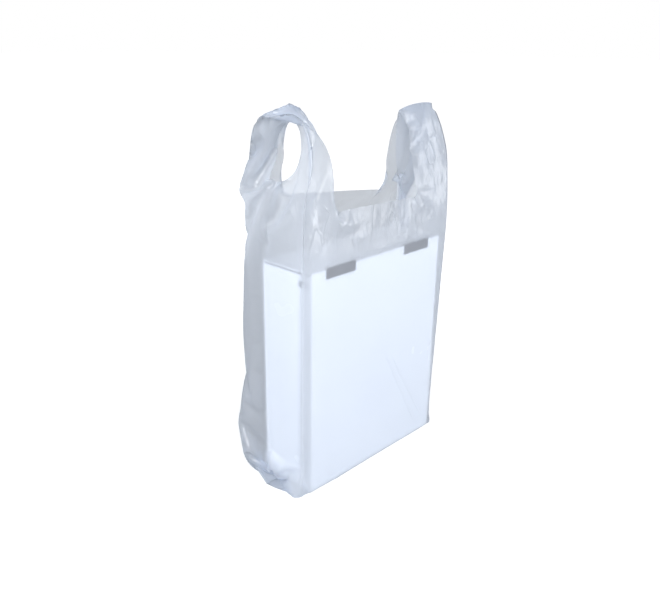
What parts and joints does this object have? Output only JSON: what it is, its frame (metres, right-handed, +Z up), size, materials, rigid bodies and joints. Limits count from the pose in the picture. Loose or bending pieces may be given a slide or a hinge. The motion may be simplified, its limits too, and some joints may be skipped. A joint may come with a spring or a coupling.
{
  "type": "plastic carrier bag",
  "caption": "Gusseted vest-style carrier bag of thin translucent plastic film with two loop handles, standing round a closed white carton.",
  "frame": {"origin": "middle of the whole object's footprint box, on the surface it stands on", "axes": "+Z up, -Y towards the viewer's side of the broad front panel, +X along that panel to its right"},
  "size_m": [0.3142, 0.136, 0.4873],
  "materials": {
    "film": "milky translucent film, soft gloss, creased",
    "carton_board": "smooth white coated board, matt",
    "dark_tape": "dark grey, satin"
  },
  "bodies": {
    "root": {"film_bag": "film", "carton": "carton_board", "closure_strip_left": "dark_tape", "closure_strip_right": "dark_tape"}
  },
  "joints": []
}
